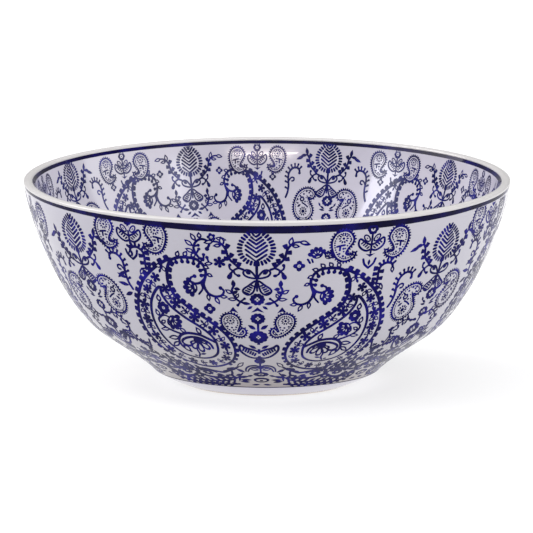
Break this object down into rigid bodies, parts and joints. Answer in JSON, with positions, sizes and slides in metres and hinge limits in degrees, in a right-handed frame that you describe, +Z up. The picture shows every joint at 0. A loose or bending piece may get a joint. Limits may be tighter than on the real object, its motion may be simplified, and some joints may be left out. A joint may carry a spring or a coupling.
{
  "type": "serving bowl",
  "caption": "Large round porcelain serving bowl on a low foot ring, white glaze with an all-over cobalt paisley and flower print.",
  "frame": {"origin": "centre of the plane that the foot ring stands on", "axes": "+Z up along the bowl's axis, towards the open mouth; the flower column of the print that faces the viewer lies on -Y"},
  "size_m": [0.356, 0.3558, 0.15],
  "materials": {
    "clay": "satin",
    "white_glaze": "gloss",
    "foot_glaze": "gloss",
    "cobalt_print": "gloss",
    "cobalt_band": "gloss"
  },
  "bodies": {
    "root": {"bowl_body": "clay", "foot_ring": "clay", "outer_glaze": "white_glaze", "inner_glaze": "white_glaze", "foot_glaze": "foot_glaze", "base_glaze": "white_glaze", "outer_print": "cobalt_print", "inner_print": "cobalt_print", "outer_rim_band": "cobalt_band", "inner_rim_band": "cobalt_band", "foot_line": "cobalt_band"}
  },
  "joints": []
}
